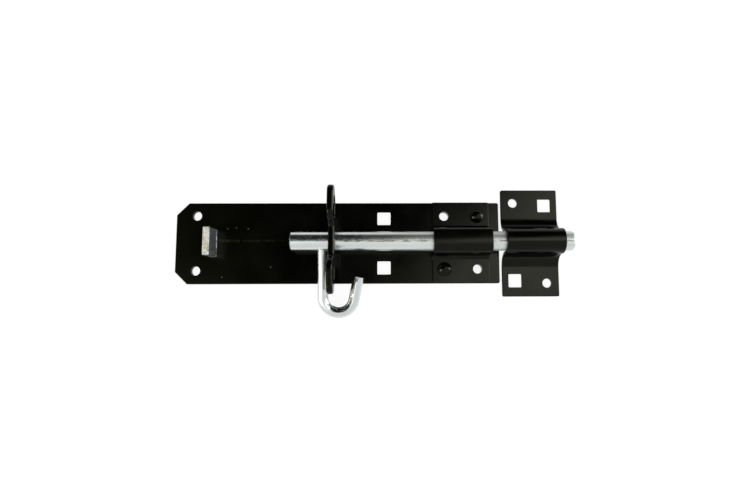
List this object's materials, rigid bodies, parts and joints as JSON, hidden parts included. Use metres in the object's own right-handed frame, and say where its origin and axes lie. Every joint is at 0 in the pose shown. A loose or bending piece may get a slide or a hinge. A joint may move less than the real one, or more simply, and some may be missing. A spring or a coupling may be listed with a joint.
{
  "type": "padbolt",
  "caption": "Gate padbolt: a round bolt slides and turns on a flat back plate under a pressed guide strap, with an eyed padlock staple, a hooked handle and a separate keep.",
  "frame": {"origin": "middle of the back plate's rear face, the face that goes against the gate", "axes": "+X along the bolt towards the keep, +Y across the plate, +Z out from the gate"},
  "size_m": [0.3093, 0.1012, 0.0323],
  "materials": {
    "black_paint": "satin to gloss black paint on steel",
    "zinc_plate": "bright zinc plating, slightly streaked"
  },
  "bodies": {
    "fixed": {"back_plate": "black_paint", "guide_strap": "black_paint", "strap_rivets": "black_paint", "padlock_staple": "black_paint", "stop_lug": "zinc_plate", "keep": "black_paint"},
    "bolt": {"bolt_shaft": "zinc_plate"},
    "handle": {"hook_handle": "zinc_plate"}
  },
  "joints": [
    {"name": "bolt_slide", "type": "slide", "parent": "fixed", "child": "bolt", "axis": [1, 0, 0], "range_m": [-0.0598, 0]},
    {"name": "handle_turn", "type": "hinge", "parent": "bolt", "child": "handle", "pos_m": [-0.0108, 0, 0.0125], "axis": [-1, 0, 0], "range_deg": [0, 195.6]}
  ]
}
